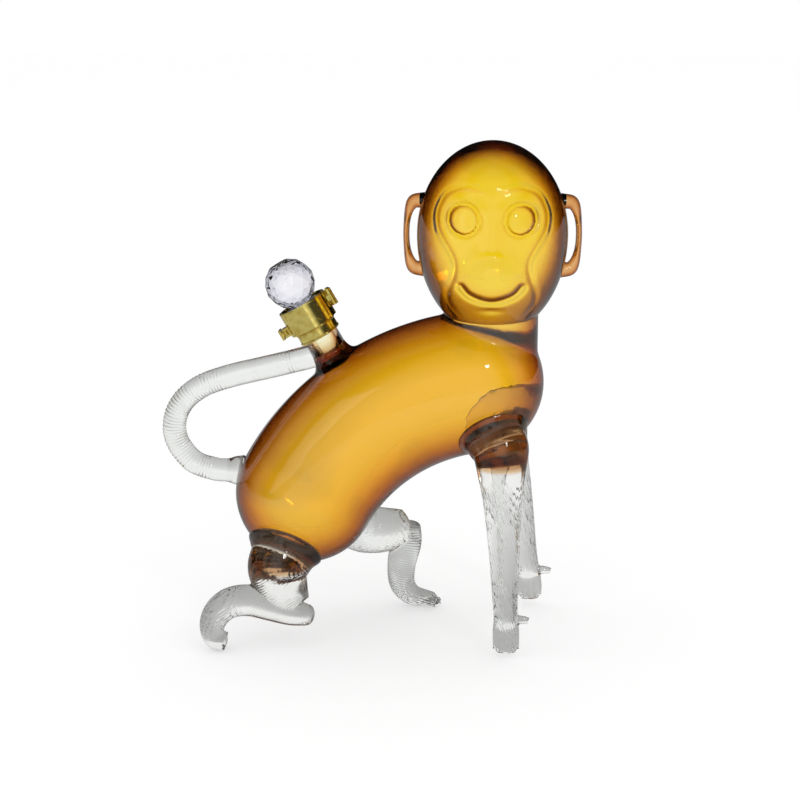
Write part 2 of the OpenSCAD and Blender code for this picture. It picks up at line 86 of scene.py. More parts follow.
# The spout's flare, bore and bead, with heights from the bend's middle line
SPOUT_AT = math.radians(126)
SEAM_UP = 46 * MM
SEAM_LAP = 2 * MM
FLARE_R = 17 * MM
NECK_R = 9.2 * MM
BORE_R = 6.6 * MM
BORE_FROM = 20 * MM
BORE_TO = 80 * MM
BEAD_UP = 64.9 * MM
BEAD_R = 10.4 * MM
BEAD_H = 3 * MM

# How far the fused rods reach into the blown glass
FUSED = 0.3 * MM

# How finely round shapes are divided: turned ones, and the egg as a face and as a tool
SIDES = 96
RINGS = 64
FACE_MESH = (232, 160)
CORE_MESH = (128, 96)

# Voxels that fuse overlapping solids, and the rounds of smoothing after them
BODY_MELT = (1.4 * MM, 10)
CAVITY_MELT = (1.55 * MM, 8)
LIMB_MELT = (0.55 * MM, 4)

# Points of a turned shape that lie nearer than this are one
WELD = 0.000005

AHEAD = Vector((1, 0, 0))
SIDEWAYS = Vector((0, 1, 0))

rump = Vector((RUMP_X, FIGURE_Y, RUMP_UP))
bend = rump - Vector((math.cos(RUMP_AT), 0, math.sin(RUMP_AT))) * BEND_R
chest = bend + Vector((math.cos(CHEST_AT), 0, math.sin(CHEST_AT))) * BEND_R
head_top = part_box("head_shell")[1].z
head = Vector((chest.x + HEAD_AHEAD, FIGURE_Y, head_top - HEAD_UP))
throat_drop = HEAD_DOWN * math.sqrt(1 - (THROAT_R / HEAD_SIDE) ** 2)
throat_z = head.z - throat_drop

turn = next(j for j in frame["joints"] if j["name"] == "stopper_turn")
spout_axis = Vector(turn["axis"]).normalized()
spout_foot = bend + Vector((math.cos(SPOUT_AT), 0, math.sin(SPOUT_AT))) * BEND_R
spout_lean = math.atan2(-spout_axis.x, spout_axis.z)


# Small helpers for modelling


def only(piece):
    """Selects one object and makes it active."""
    bpy.ops.object.select_all(action="DESELECT")
    piece.select_set(True)
    bpy.context.view_layer.objects.active = piece


def apply_place(piece):
    only(piece)
    bpy.ops.object.transform_apply(location=True, rotation=True, scale=True)
    return piece


def joined(first, *others):
    bpy.ops.object.select_all(action="DESELECT")
    for piece in (first, *others):
        piece.select_set(True)
    bpy.context.view_layer.objects.active = first
    bpy.ops.object.join()
    return first


def apply_modifier(piece, kind, **settings):
    only(piece)
    modifier = piece.modifiers.new(kind.lower(), kind)
    for key, value in settings.items():
        setattr(modifier, key, value)
    bpy.ops.object.modifier_apply(modifier=modifier.name)


def melted(piece, voxel, rounds):
    """Fuses overlapping solids into one skin, and lets its corners flow."""
    apply_modifier(piece, "REMESH", mode="VOXEL", voxel_size=voxel)
    apply_modifier(piece, "SMOOTH", factor=0.5, iterations=rounds)
    return smooth(piece)


def smooth(piece):
    only(piece)
    bpy.ops.object.shade_smooth()
    return piece


def cut(piece, tool, operation):
    """Adds or takes away another solid, which is used up."""
    apply_modifier(piece, "BOOLEAN", operation=operation, object=tool, solver="EXACT")
    bpy.data.objects.remove(tool)
    return piece


def dress(piece, material, slot, *nodes):
    """Gives a piece its finish, hangs it on the root and hides the model's nodes that it stands
    for; none of them moves.
    """
    piece.data.materials.clear()
    piece.data.materials.append(material)
    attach(piece, "root")
    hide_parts(*nodes)


# The blown body


def bent_body(radius, throat_r, throat_top):
    """The bent tube with its round ends and the throat, as overlapping solids."""
    bpy.ops.mesh.primitive_circle_add(vertices=SIDES, radius=radius, fill_type="NGON")
    tube = bpy.context.active_object
    tube.matrix_world = Matrix.Translation(chest) @ Matrix.Rotation(-CHEST_AT, 4, "Y")
    apply_place(tube)
    bpy.ops.object.mode_set(mode="EDIT")
    bpy.ops.mesh.select_all(action="SELECT")
    bpy.ops.mesh.spin(
        steps=SIDES // 2, angle=RUMP_AT - CHEST_AT, center=bend, axis=(0, 1, 0), dupli=False
    )
    bpy.ops.mesh.select_all(action="SELECT")
    bpy.ops.mesh.normals_make_consistent(inside=False)
    bpy.ops.object.mode_set(mode="OBJECT")
    balls = []
    for centre in (rump, chest):
        bpy.ops.mesh.primitive_uv_sphere_add(
            segments=SIDES, ring_count=RINGS, radius=radius, location=centre
        )
        balls.append(apply_place(bpy.context.active_object))
    depth = throat_top - chest.z
    middle = (head.x, FIGURE_Y, chest.z + depth / 2)
    bpy.ops.mesh.primitive_cylinder_add(
        vertices=SIDES, radius=throat_r, depth=depth, location=middle
    )
    throat = apply_place(bpy.context.active_object)
    return joined(tube, *balls, throat)


def spout_place():
    """The spout's own frame: its Z runs along the axis, from the bend's middle line."""
    tilt = Vector((0, 0, 1)).rotation_difference(spout_axis)
    return Matrix.Translation(spout_foot) @ tilt.to_matrix().to_4x4()


def lathed(profile, place, steps=SIDES):
    """A solid turned from (radius, height) points, the first and the last on the axis."""
    mesh = bpy.data.meshes.new("lathed")
    points = [(r, 0, z) for r, z in profile]
    mesh.from_pydata(points, [(i, i + 1) for i in range(len(points) - 1)], [])
    piece = bpy.data.objects.new("lathed", mesh)
    bpy.context.scene.collection.objects.link(piece)
    only(piece)
    bpy.ops.object.mode_set(mode="EDIT")
    bpy.ops.mesh.select_all(action="SELECT")
    bpy.ops.mesh.spin(steps=steps, angle=2 * math.pi, center=(0, 0, 0), axis=(0, 0, 1))
    bpy.ops.mesh.select_all(action="SELECT")
    bpy.ops.mesh.remove_doubles(threshold=WELD)
    bpy.ops.mesh.normals_make_consistent(inside=False)
    bpy.ops.object.mode_set(mode="OBJECT")
    piece.matrix_world = place
    return apply_place(piece)


def flare_solid(radius, foot, top):
    """The concave foot of the spout, as a solid whose root lies inside the torso."""
    low = TORSO_R - 3 * MM
    steps = 10
    profile = [(0, low - 10 * MM), (foot, low - 10 * MM)]
    for i in range(steps + 1):
        angle = math.pi / 2 * i / steps
        profile.append(
            (foot - (foot - radius) * math.sin(angle), low + (top - low) * (1 - math.cos(angle)))
        )
    profile.append((0, top))
    return lathed(profile, spout_place())


def curve_through(points, steps=6):
    """A smooth line through a few places."""
    line = []
    for i in range(len(points) - 1):
        a, b, c, d = (points[max(0, min(len(points) - 1, i + k))] for k in (-1, 0, 1, 2))
        for step in range(steps):
            t = step / steps
            line.append(
                tuple(
                    0.5
                    * (
                        2 * q
                        + (r - p) * t
                        + (2 * p - 5 * q + 4 * r - s) * t * t
                        + (3 * q - p - 3 * r + s) * t**3
                    )
                    for p, q, r, s in zip(a, b, c, d)
                )
            )
    line.append(points[-1])
    return line


# The angles of the rings that round off a rod's end, and how far its tip stands past them
CAP_ANGLES = (22, 42, 60, 75)
CAP_TIP = 0.04


def swept(stations, side, bulge, steps=6, sides=32, ripple=None):
    """A ball stretched over a smooth path: each station has its place and its two half widths.

    The first width lies along side, and the ends are rounded off over the length bulge.
    """
    path = curve_through([tuple(q) for q in stations], steps)
    rings = []
    for i, (x, y, z, wide, thick) in enumerate(path):
        after, before = path[min(i + 1, len(path) - 1)], path[max(i - 1, 0)]
        along = (Vector(after[:3]) - Vector(before[:3])).normalized()
        rings.append((Vector((x, y, z)), along, wide, thick))
    for last, sign in ((0, -1), (len(rings) - 1, 1)):
        middle, along, wide, thick = rings[last]
        cap = []
        for angle in CAP_ANGLES:
            a = math.radians(angle)
            shift = along * sign * bulge * math.sin(a)
            cap.append((middle + shift, along, wide * math.cos(a), thick * math.cos(a)))
        rings = cap[::-1] + rings if sign < 0 else rings + cap
    tips = (
        rings[0][0] - rings[0][1] * CAP_TIP * bulge,
        rings[-1][0] + rings[-1][1] * CAP_TIP * bulge,
    )
    count = len(rings) + 1
    bpy.ops.mesh.primitive_uv_sphere_add(segments=sides, ring_count=count, radius=1)
    piece = bpy.context.active_object
    for vertex in piece.data.vertices:
        row = round(math.acos(max(-1, min(1, -vertex.co.z))) / math.pi * count)
        if row in (0, count):
            vertex.co = tips[0 if row == 0 else 1]
            continue
        middle, along, wide, thick = rings[row - 1]
        across = (side - along * side.dot(along)).normalized()
        turn_at = math.atan2(vertex.co.y, vertex.co.x)
        swell = 1 + (ripple(row) if ripple else 0)
        vertex.co = middle + swell * (
            across * wide * math.cos(turn_at) + along.cross(across) * thick * math.sin(turn_at)
        )
    return piece


def egg_at(up):
    """Share of the egg's full width at a height over its middle."""
    half = HEAD_UP if up > 0 else HEAD_DOWN
    return math.sqrt(max(0.0, 1 - (up / half) ** 2))


def egg(side, deep, up, down, segments, rings):
    """The head's egg about its widest place, with its half widths and its two heights."""
    bpy.ops.mesh.primitive_uv_sphere_add(segments=segments, ring_count=rings, radius=1)
    ball = bpy.context.active_object
    for vertex in ball.data.vertices:
        x, y, z = vertex.co
        vertex.co = head + Vector((x * side, y * deep, z * (up if z > 0 else down)))
    return ball


def engraved(x, z, path, width):
    """How near a place on the face is to an engraved line, from 0 to 1."""
    best = math.inf
    for (x0, z0), (x1, z1) in zip(path, path[1:]):
        dx, dz = x1 - x0, z1 - z0
        t = max(0.0, min(1.0, ((x - x0) * dx + (z - z0) * dz) / (dx * dx + dz * dz)))
        best = min(best, math.hypot(x - x0 - t * dx, z - z0 - t * dz))
    return math.exp(-((best / width) ** 2))


# Half of the engraved line round the face, from the brow's middle down to the chin, in mm
MASK_LINE = curve_through(
    [(0, 24), (6, 27.5), (15, 28), (23, 24), (27.5, 15), (26.5, 6), (21.5, -2), (18.4, -9),
     (19.5, -17), (22, -25), (21, -32), (17, -38)]
)
SMILE = curve_through([(-15, -20.5), (-10.5, -25), (0, -28), (10.5, -25), (15, -20.5)])
EYE = (14, 12.5)


def relief(x, z):
    """Height of the pressed face over the egg, at a place across and up the face, all in mm."""

    def swell(x0, z0, wide, high, height):
        return height * math.exp(-(((x - x0) / wide) ** 2) - ((z - z0) / high) ** 2)

    def dome(x0, z0, radius, height):
        share = ((x - x0) / radius) ** 2 + ((z - z0) / radius) ** 2
        return height * math.sqrt(1 - share) if share < 1 else 0.0

    x = abs(x)
    # The eye's socket and ball, the brow and the bridge of the nose
    out = swell(*EYE, 12, 12, -3.2) + dome(*EYE, 7.2, 3.6)
    out += swell(9, 25, 11, 4.5, 1.6) + swell(0, 3, 4, 12, 1.4)
    # The muzzle, the nose and the hollow over the chin
    out += swell(0, -20, 19, 13, 6.5) + swell(0, -9, 5, 3.6, 2.2)
    out += swell(0, -33, 5, 2, -1.2)
    # The line round the face, the smile and the lid's groove
    out -= 1.3 * engraved(x, z, MASK_LINE, 1.5)
    out -= 2.6 * engraved(x, z, SMILE, 1.9)
    lid = (math.hypot(x - EYE[0], z - EYE[1]) - 7.6) / 1.1
    out -= 1.3 * math.exp(-lid * lid)
    return out


def press_face(ball):
    """Raises the face on the egg's front half; it fades out towards the sides and the poles."""
    for vertex in ball.data.vertices:
        x, y, z = (vertex.co - head) / MM
        if y < 0:
            face = min(1.0, 2 * (y / math.hypot(x, y)) ** 2) if x or y else 0.0
            vertex.co.y -= relief(x, z) * face * max(0.2, egg_at(z * MM)) * MM
    return ball


def face_solid():
    """The head with its pressed face, cut flat a little below the top of the throat."""
    ball = press_face(egg(HEAD_SIDE, HEAD_DEEP, HEAD_UP, HEAD_DOWN, *FACE_MESH))
    ball.name = "head"
    only(ball)
    bpy.ops.object.mode_set(mode="EDIT")
    bpy.ops.mesh.select_all(action="SELECT")
    bpy.ops.mesh.bisect(
        plane_co=(0, 0, throat_z - 3 * MM), plane_no=(0, 0, 1), use_fill=True, clear_inner=True
    )
    bpy.ops.object.mode_set(mode="OBJECT")
    return ball


def cavity(inset):
    """The room inside the blown glass: torso, throat and head in one smooth skin."""
    body = bent_body(TORSO_R - inset, THROAT_R - inset, head.z)
    deep = HEAD_DEEP - inset - FACE_WALL
    ball = egg(HEAD_SIDE - inset, deep, HEAD_UP - inset, HEAD_DOWN - inset, SIDES, RINGS)
    foot = flare_solid(NECK_R - inset, FLARE_R - inset, SEAM_UP - SEAM_LAP)
    return melted(joined(body, ball, foot), *CAVITY_MELT)


def neck_solid(radius):
    """The neck's tube with the rolled bead round its mouth, still without its bore."""
    profile = [(0, SEAM_UP - SEAM_LAP), (radius, SEAM_UP - SEAM_LAP), (radius, BEAD_UP)]
    round_r = BEAD_H / 2
    for i in range(9):
        angle = math.pi * (i / 8 - 0.5)
        out = BEAD_R - round_r + round_r * math.cos(angle)
        profile.append((out, BEAD_UP + round_r * (1 + math.sin(angle))))
    profile.append((0, BEAD_UP + BEAD_H))
    return lathed(profile, spout_place())


def body_solid(inset=0.0):
    """The torso, the throat and the spout's foot, in one flowing skin."""
    body = bent_body(TORSO_R - inset, THROAT_R - inset, head.z - 20 * MM)
    foot = flare_solid(NECK_R - inset, FLARE_R - inset, SEAM_UP - inset)
    return melted(joined(body, foot), *BODY_MELT)


def blown_glass():
    """The torso, the head and the neck as one wall of glass, open at the mouth."""
    outer = cut(body_solid(), face_solid(), "UNION")
    outer = cut(outer, neck_solid(NECK_R), "UNION")
    outer.name = outer.data.name = "blown_glass"
    profile = [(0, BORE_FROM), (BORE_R, BORE_FROM), (BORE_R, BORE_TO), (0, BORE_TO)]
    bore = lathed(profile, spout_place(), 64)
    room = cut(cavity(WALL), bore, "UNION")
    return smooth(cut(outer, room, "DIFFERENCE"))


def liquor():
    """The liquor fills the cavity, and laps a hair into the wall so that no air lies between."""
    piece = cavity(WALL - FILL_LAP)
    piece.name = piece.data.name = "liquor"
    return piece


# The solid limbs, which are fused on the blown glass

# The four fingers or toes, in steps from the middle
DIGITS = (-1.5, -0.5, 0.5, 1.5)


def near_middle(place):
    """The nearest point on the torso's middle line."""
    angle = math.atan2(place.z - bend.z, place.x - bend.x)
    if CHEST_AT < angle < RUMP_AT:
        return bend + Vector((math.cos(angle), 0, math.sin(angle))) * BEND_R
    return min((rump, chest), key=lambda end: (place - end).length)


def station(x, y, z, wide, thick):
    """A station from millimetres, counted from the rump's centre across the table."""
    return (rump.x + x * MM, FIGURE_Y + y * MM, z * MM, wide * MM, thick * MM)


def rooted(first, aim):
    """Two stations that carry a limb on into the torso, flaring where it is fused."""
    place = Vector(first[:3])
    way = (aim - place).normalized()
    gap = (place - near_middle(place)).length - TORSO_R
    inside, seat = place + way * (gap + 3.5 * MM), place + way * gap * 0.75
    return [
        (*inside, first[3] * 1.3, first[4] * 1.3),
        (*seat, first[3] * 1.08, first[4] * 1.08),
    ]


def fused(piece, core):
    """Cuts away what a limb has inside the blown glass, all but a hair."""
    tool = core.copy()
    tool.data = core.data.copy()
    bpy.context.scene.collection.objects.link(tool)
    return smooth(cut(piece, tool, "DIFFERENCE"))


def finger(start, end, wide, thick):
    """A finger that tapers to its round tip."""
    middle = (Vector(start) + Vector(end)) / 2
    stations = [(*start, wide, thick), (*middle, wide, thick), (*end, 0.85 * wide, 0.75 * thick)]
    return swept(stations, AHEAD, 0.7 * wide, 3, 16)


# The shoulder's place and the fingers, in millimetres
SHOULDER_X = 102.12
SHOULDER_Z = 107.03
SHOULDER_SIDE = 32
FINGER_WIDE = 1.8
FINGER_THICK = 2.9
FINGER_STEP = 3.5


def foreleg(side, ahead, apart):
    """A straight arm with a flat hand, four fingers down and the thumb forwards.

    From the shoulder to the hand it runs some millimetres ahead and apart from the middle.
    """

    def at(share, out, z, wide, thick):
        y = side * (SHOULDER_SIDE + out + share * apart)
        return station(SHOULDER_X + share * ahead, y, z, wide, thick)

    arm = [
        at(0, 0, SHOULDER_Z, 14.5, 12.7), at(0.16, 1.4, SHOULDER_Z - 12, 12, 10.5),
        at(0.33, 1.6, SHOULDER_Z - 25, 10, 9), at(0.6, 2.2, 0.54 * SHOULDER_Z, 8, 7.6),
        at(0.82, 2.6, 0.3 * SHOULDER_Z, 6.6, 6.1), at(0.93, 2.8, 21, 6.2, 5.2),
        at(0.97, 2.9, 15, 6.8, 3.2), at(1, 3, 9, 6.9, 2.3),
        at(1.01, 3.1, 5, 6, 2.1), at(1.02, 3.2, 2.3, 4.4, 1.9),
    ]
    parts = [swept(rooted(arm[0], chest) + arm, AHEAD, 1.8 * MM)]
    hand = Vector(at(1, 3, 14, 0, 0)[:3])
    for i in DIGITS:
        start = hand + Vector((0.85 * i * FINGER_STEP, 0, 0)) * MM
        tip_up = (1.6 + 1.6 * abs(i)) * MM
        tip = Vector((hand.x + i * FINGER_STEP * MM, hand.y + side * 0.2 * MM, tip_up))
        parts.append(finger(start, tip, FINGER_WIDE * MM, FINGER_THICK * MM))
    wrist = Vector(at(1, 1.4, 19.5, 0, 0)[:3]) + Vector((2, 0, 0)) * MM
    knuckle = Vector((hand.x + 9 * MM, wrist.y, 19.8 * MM))
    tip = Vector((hand.x + 14.4 * MM, wrist.y, 18.4 * MM))
    thumb = [(*wrist, 3 * MM, 3 * MM), (*knuckle, 1.9 * MM, 2 * MM), (*tip, 1.1 * MM, 1.3 * MM)]
    parts.append(swept(thumb, SIDEWAYS, 0.9 * MM, 5, 16))
    return parts


def hindleg_right():
    """The kneeling leg: a short thigh, a shin along the table and a foot that curls under."""
    thigh = [
        station(-12.4, -29, 42, 15, 15.5), station(-10.9, -30.5, 35, 12.8, 14.2),
        station(-8, -32, 28, 10, 12.8), station(-3.6, -32.6, 20.5, 6.6, 9.6),
    ]
    shin = [
        station(3, -32.5, 17.8, 6, 5.6), station(-5.4, -32.7, 19.5, 7.8, 7),
        station(-15.4, -33.5, 23, 8.4, 8), station(-26.4, -34.6, 26, 8.4, 8.2),
        station(-36.4, -36, 25, 8, 8), station(-43.2, -37, 19.5, 7.4, 7.4),
        station(-45.8, -37.8, 12.5, 7, 6.5), station(-44, -37.8, 6, 7, 5.4),
        station(-37.6, -37.8, 4.4, 6.8, 4.2),
    ]
    return [
        swept(rooted(thigh[0], rump) + thigh, SIDEWAYS, 5 * MM),
        swept(shin, SIDEWAYS, 4 * MM),
    ]


def hindleg_left():
    """The striding leg: a level thigh, an upright shin and a flat foot with toes."""
    thigh = [
        station(28.6, 27, 45.5, 13, 13), station(37.6, 29, 44.5, 12.5, 12.5),
        station(45.6, 30.5, 45, 11, 11), station(51.2, 31.5, 45.8, 9.4, 9.4),
    ]
    shin = [
        station(51.8, 31.5, 46.4, 7.6, 7.4), station(51.4, 32, 37, 8.2, 8.4),
        station(48.8, 32, 24, 7.8, 7.8), station(49.2, 32, 13, 7.2, 7),
        station(54.4, 32, 6.4, 7, 5.6), station(62.1, 32, 4.6, 6.8, 4),
        station(67.1, 32, 4, 6.2, 3.2),
    ]
    aim = rump + Vector((4.6, 10, -8.5)) * MM
    parts = [
        swept(rooted(thigh[0], aim) + thigh, SIDEWAYS, 6 * MM),
        swept(shin, SIDEWAYS, 1.6 * MM),
    ]
    for i in DIGITS:
        start = station(64, 32 + 3 * i, 3.6, 0, 0)[:3]
        tip = station(71.4 - 0.6 * i * i, 32 + 3.2 * i, 2.1, 0, 0)[:3]
        parts.append(finger(start, tip, 2.05 * MM, 2.05 * MM))
    return parts


# The tail's rod and its ring grooves in millimetres, and their depth as a share of its width
TAIL_R = 6.2
RING_PITCH = 1.7
RING_DEEP = 0.055


def behind(x, z, scale=1.0):
    """A station of the tail behind the rump, in millimetres."""
    return station(x - TORSO_R / MM, 0, rump.z / MM + z, TAIL_R * scale, TAIL_R * scale)


def by_spout(x, up):
    """A station of the tail counted across the spout's axis and along it, in millimetres."""
    height = TORSO_R / MM + up
    cos, sin = math.cos(spout_lean), math.sin(spout_lean)
    place = spout_foot + Vector((x * cos - height * sin, 0, x * sin + height * cos)) * MM
    return (place.x, FIGURE_Y, place.z, TAIL_R * MM, TAIL_R * MM)


def tail():
    """The looped tail, drawn with close ring grooves from end to end."""
    stations = [
        behind(4.5, 11.2, 1.3), behind(0, 11.2, 1.2), behind(-4.4, 11.3), behind(-11.4, 11.9),
        behind(-22.4, 16), behind(-30.4, 26.5), behind(-31.7, 37.5), behind(-26.9, 48.5),
        by_spout(-67.5, 21.9), by_spout(-51.8, 19.2), by_spout(-33.9, 14.1), by_spout(-22, 10.7),
        by_spout(-12, 8.1), by_spout(-6, 6.9),
    ]
    steps = 56
    path = curve_through(stations, steps)
    length, walked = 0.0, [0.0]
    for before, after in zip(path, path[1:]):
        length += (Vector(after[:3]) - Vector(before[:3])).length
        walked.append(length)

    def ripple(row):
        """The groove's share of the width, which fades out at both ends and is never even."""
        on_path = row - 1 - len(CAP_ANGLES)
        far = walked[max(0, min(len(walked) - 1, on_path))]
        fade = min(1, max(0, (far / MM - 12) / 10)) * min(1, max(0, ((length - far) / MM - 6) / 8))
        uneven = 0.75 + 0.25 * math.sin(far / MM / 5.3) * math.sin(far / MM / 2.1 + 1)
        ring = 0.5 + 0.5 * math.cos(2 * math.pi * far / MM / RING_PITCH)
        return -RING_DEEP * fade * uneven * ring

    return swept(stations, SIDEWAYS, 1 * MM, steps, 48, ripple)


# The ear's loop: half its height, how far it stands out and half its rod
EAR_HALF = 17.5
EAR_STANDS = 7.5
EAR_ROD = 1.8


def ear(side):
    """A flat loop of glass rod on the side of the head; its numbers are in millimetres."""
    root = HEAD_SIDE / MM * egg_at(EAR_HALF * MM) + 1.5
    reach = HEAD_SIDE / MM + EAR_STANDS - EAR_ROD
    loop = []
    for degrees in range(-90, 91, 15):
        a = math.radians(degrees)
        out = root + (reach - root) * max(0.0, math.cos(a)) ** 0.7
        thick = 1.6 + 2.2 * abs(math.sin(a)) ** 3
        loop.append(
            (head.x + side * out * MM, FIGURE_Y + (4 + 3 * math.cos(a)) * MM,
             head.z + (EAR_HALF * math.sin(a) - 1) * MM, 4.4 * MM, thick * MM)
        )
    first, last = (
        (x - side * 6 * MM, y, z, wide * 1.2, thick * 1.2)
        for x, y, z, wide, thick in (loop[0], loop[-1])
    )
    return swept([first] + loop + [last], SIDEWAYS, 1 * MM, 4)


# Materials

# A Mix node's sockets for two colours and their result
FIRST_COLOUR, SECOND_COLOUR, MIXED_COLOUR = 6, 7, 2


def new_material(name):
    """An empty Principled material with its nodes and links."""
    material = bpy.data.materials.new(name)
    material.use_nodes = True
    return material, material.node_tree.nodes, material.node_tree.links


def math_node(nodes, links, operation, *values):
    """One sum on sockets and plain numbers."""
    node = nodes.new("ShaderNodeMath")
    node.operation = operation
    for socket, value in zip(node.inputs, values):
        if isinstance(value, (int, float)):
            socket.default_value = value
        else:
            links.new(value, socket)
    return node.outputs[0]


def object_place(nodes, links, scale=(1, 1, 1), frame_of=None):
    """Object coordinates, set into another frame if one is given, and stretched."""
    place = nodes.new("ShaderNodeTexCoord").outputs["Object"]
    if frame_of is not None:
        turn_node = nodes.new("ShaderNodeMapping")
        inverse = frame_of.inverted()
        turn_node.inputs["Location"].default_value = inverse.to_translation()
        turn_node.inputs["Rotation"].default_value = inverse.to_euler()
        links.new(place, turn_node.inputs["Vector"])
        place = turn_node.outputs["Vector"]
    stretch = nodes.new("ShaderNodeMapping")
    stretch.inputs["Scale"].default_value = scale
    links.new(place, stretch.inputs["Vector"])
    return stretch.outputs["Vector"]


def noise(nodes, links, vector, scale, detail=2.0, distortion=0.0):
    grain = nodes.new("ShaderNodeTexNoise")
    links.new(vector, grain.inputs["Vector"])
    grain.inputs["Scale"].default_value = scale
    grain.inputs["Detail"].default_value = detail
    grain.inputs["Distortion"].default_value = distortion
    return grain.outputs["Fac"]


def ranged(nodes, links, value, low, high, to_low, to_high):
    """Carries a value from one range to another, and holds it there at the ends."""
    node = nodes.new("ShaderNodeMapRange")
    links.new(value, node.inputs["Value"])
    node.inputs["From Min"].default_value = low
    node.inputs["From Max"].default_value = high
    node.inputs["To Min"].default_value = to_low
    node.inputs["To Max"].default_value = to_high
    return node.outputs[0]


def bumped(nodes, links, height, distance, strength, under=None):
    """A normal raised by a height, over another normal if one is given."""
    node = nodes.new("ShaderNodeBump")
    node.inputs["Strength"].default_value = strength
    node.inputs["Distance"].default_value = distance
    links.new(height, node.inputs["Height"])
    if under is not None:
        links.new(under, node.inputs["Normal"])
    return node.outputs["Normal"]


def ramp_of(nodes, links, value, stops):
    """A colour ramp from (place, (red, green, blue)) stops."""
    ramp = nodes.new("ShaderNodeValToRGB")
    elements = ramp.color_ramp.elements
    while len(elements) < len(stops):
        elements.new(0.5)
    for element, (place, colour) in zip(elements, stops):
        element.position = place
        element.color = (*colour, 1)
    links.new(value, ramp.inputs["Fac"])
    return ramp.outputs["Color"]


# Painted rim shade: the blown wall's colour darkens through amber-brown towards near black as the
# angle of view grazes it, with ramps of its own for the head and the torso
BODY_RIM_SHADE = (
    (0.0, (1, 1, 1)), (0.12, (1, 0.98, 0.93)), (0.28, (0.91, 0.7, 0.5)),
    (0.45, (0.52, 0.26, 0.14)), (0.6, (0.2, 0.062, 0.022)), (0.8, (0.04, 0.01, 0.004)),
)
# Painted rim shade on the head
HEAD_RIM_SHADE = (
    (0.3, (1, 1, 1)), (0.42, (0.7, 0.5, 0.4)), (0.55, (0.2, 0.1, 0.06)),
    (0.75, (0.05, 0.02, 0.01)),
)
# Painted rim shade on the torso, milder
TORSO_RIM_SHADE = ((0.06, (1, 1, 1)), (0.25, (0.86, 0.74, 0.66)), (0.45, (0.8, 0.68, 0.6)))

# The torso's tone, which ends where the head begins, and the spout's painted shade, dark red-brown
# at its foot and pale yellow above, from its foot upwards
TORSO_TONE = ((0.0, (0.98, 0.87, 0.84)), (1.0, (1, 1, 1)))
SPOUT_SHADE = (
    (0.0, (1, 1, 1)), (0.16, (0.4, 0.13, 0.03)), (0.45, (0.45, 0.17, 0.05)),
    (0.7, (0.92, 0.86, 0.6)), (1.0, (0.98, 0.97, 0.82)),
)

# Painted amber and shade at a leg's top, standing for the amber body seen through it: from the
# clear glass upwards, dark brown, then light amber
LEG_TOP_AMBER_AND_SHADE = (
    (0.0, (0.88, 0.89, 0.87)), (0.1, (0.6, 0.32, 0.12)), (0.2, (0.3, 0.09, 0.02)),
    (0.5, (0.34, 0.12, 0.03)), (0.7, (0.85, 0.66, 0.42)), (1.0, (0.92, 0.8, 0.6)),
)

# Painted rim shade on the ball and on the ears, darker as the angle of view grazes them; the ears'
# ramp starts from amber
CRYSTAL_RIM_SHADE = (
    (0.0, (0.93, 0.93, 0.96)), (0.2, (0.8, 0.8, 0.87)), (0.45, (0.5, 0.5, 0.58)),
    (0.8, (0.2, 0.2, 0.26)),
)
EAR_RIM_SHADE = (
    (0.0, (0.75, 0.42, 0.16)), (0.15, (0.6, 0.24, 0.06)), (0.4, (0.22, 0.05, 0.012)),
    (0.8, (0.02, 0.004, 0.002)),
)

# The heights along the spout's axis that its painted shade runs between, and the radii it fades
# over
SHADE_FROM, SHADE_TO = 35.5 * MM, 48.5 * MM
SHADE_IN, SHADE_OUT = 0.019, 0.022


def tinted(nodes, links, colour, tone_and_shade, share):
    """Multiplies one colour by a share of another, such as a tone, painted rim shade and the
    spout's painted shade.
    """
    mix = nodes.new("ShaderNodeMix")
    mix.data_type, mix.blend_type = "RGBA", "MULTIPLY"
    links.new(share, mix.inputs["Factor"])
    links.new(colour, mix.inputs[FIRST_COLOUR])
    links.new(tone_and_shade, mix.inputs[SECOND_COLOUR])
    return mix.outputs[MIXED_COLOUR]


def body_colours(nodes, links, colour):
    """Gives the torso and the head their tones and painted rim shade, and the spout's foot its
    painted shade.
    """
    # The spout's foot gets painted shade, in a ring round the spout's axis between two heights
    along = nodes.new("ShaderNodeSeparateXYZ")
    links.new(object_place(nodes, links, frame_of=spout_place()), along.inputs[0])
    up = ranged(nodes, links, along.outputs["Z"], SHADE_FROM, SHADE_TO, 0, 1)
    away = nodes.new("ShaderNodeVectorMath")
    away.operation = "LENGTH"
    links.new(object_place(nodes, links, (1, 1, 0), spout_place()), away.inputs[0])
    near = ranged(nodes, links, away.outputs["Value"], SHADE_IN, SHADE_OUT, 1, 0)
    on_neck = math_node(nodes, links, "MULTIPLY", near, up)
    off_neck = math_node(nodes, links, "SUBTRACT", 1, on_neck)
    up_figure = height_over_table(nodes, links)
    headwards = ranged(nodes, links, up_figure, throat_z - 4 * MM, throat_z + 8 * MM, 0, 1)
    tone = ramp_of(nodes, links, headwards, TORSO_TONE)
    colour = tinted(nodes, links, colour, tone, off_neck)
    # Painted rim shade by the angle of view: the head's ramp over the head, the torso's over the
    # torso
    facing = nodes.new("ShaderNodeLayerWeight").outputs["Facing"]
    colour = tinted(nodes, links, colour, ramp_of(nodes, links, facing, HEAD_RIM_SHADE), headwards)
    off_head = math_node(nodes, links, "SUBTRACT", 1, headwards)
    torso = math_node(nodes, links, "MULTIPLY", off_neck, off_head)
    colour = tinted(nodes, links, colour, ramp_of(nodes, links, facing, TORSO_RIM_SHADE), torso)
    return tinted(nodes, links, colour, ramp_of(nodes, links, up, SPOUT_SHADE), near)


